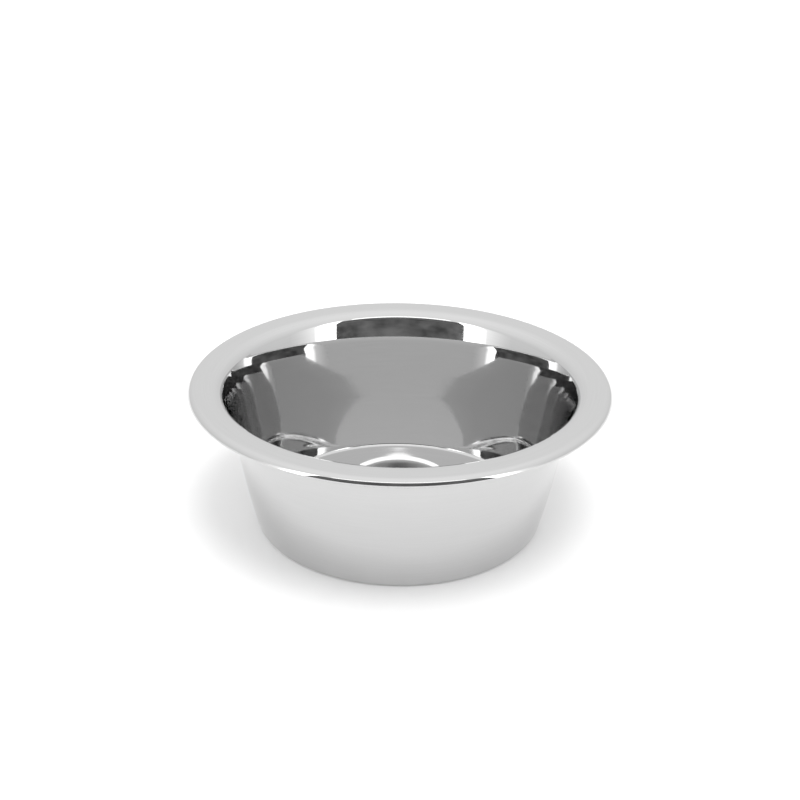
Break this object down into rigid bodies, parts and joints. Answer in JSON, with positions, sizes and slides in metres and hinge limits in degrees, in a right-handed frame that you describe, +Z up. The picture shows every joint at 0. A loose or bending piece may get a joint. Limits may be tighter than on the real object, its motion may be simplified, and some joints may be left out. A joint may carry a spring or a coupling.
{
  "type": "dog bowl",
  "caption": "Round drawn stainless steel dog bowl with a flared wall, a flat rim and a rolled edge, for food or water.",
  "frame": {"origin": "on the surface the bowl stands on, below its centre", "axes": "+Z up along the bowl's axis of revolution; X and Y are equal by symmetry"},
  "size_m": [0.16, 0.16, 0.057],
  "materials": {
    "polished_steel": "mirror polish inside, finely polished outside and on the rim"
  },
  "bodies": {
    "root": {"bowl": "polished_steel"}
  },
  "joints": []
}
